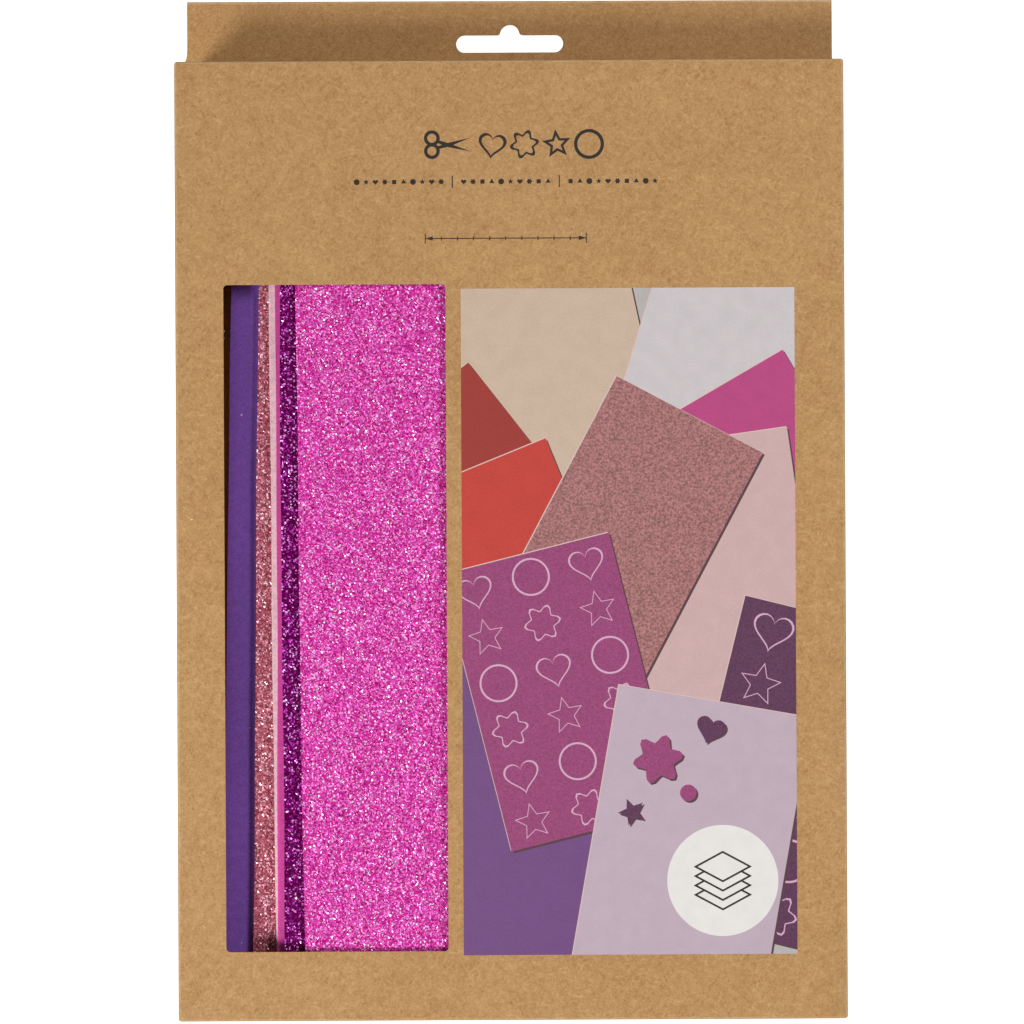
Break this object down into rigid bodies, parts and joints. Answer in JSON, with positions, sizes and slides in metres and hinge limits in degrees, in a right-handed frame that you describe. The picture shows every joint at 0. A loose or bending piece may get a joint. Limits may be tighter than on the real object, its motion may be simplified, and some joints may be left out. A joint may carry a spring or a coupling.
{
  "type": "craft foam sheet pack",
  "caption": "Kraft board window carton lying on its back, with a hanging header, holding a loose fan of thin craft foam sheets, some plain and some glittered.",
  "frame": {"origin": "middle of the whole pack's outline, on the surface that it lies on", "axes": "+X across the carton to the right as its front is read, +Y up its front towards the hanging header, +Z out of its front"},
  "size_m": [0.1784, 0.2766, 0.029],
  "materials": {
    "kraft_board": "uncoated kraft board with a fine fibre mottle",
    "white_foam": "matt closed-cell foam",
    "cream_foam": "matt closed-cell foam",
    "dark_red_foam": "matt closed-cell foam",
    "red_foam": "matt closed-cell foam",
    "lilac_foam": "matt closed-cell foam",
    "coral_glitter_foam": "foam with a coat of fine glitter on its front",
    "purple_foam": "matt closed-cell foam",
    "rose_glitter_foam": "foam with a coat of fine glitter on its front",
    "pale_pink_foam": "matt closed-cell foam",
    "pink_foam": "matt closed-cell foam",
    "violet_glitter_foam": "foam with a coat of fine glitter on its front",
    "hot_pink_glitter_foam": "foam with a coat of fine glitter on its front"
  },
  "bodies": {
    "root": {"carton": "kraft_board", "foam_sheet_white": "white_foam", "foam_sheet_cream": "cream_foam", "foam_sheet_dark_red": "dark_red_foam", "foam_sheet_red": "red_foam", "foam_sheet_lilac": "lilac_foam", "glitter_sheet_coral": "coral_glitter_foam", "foam_sheet_purple": "purple_foam", "glitter_sheet_rose": "rose_glitter_foam", "foam_sheet_pale_pink": "pale_pink_foam", "foam_sheet_pink": "pink_foam", "glitter_sheet_violet": "violet_glitter_foam", "glitter_sheet_hot_pink": "hot_pink_glitter_foam"}
  },
  "joints": []
}
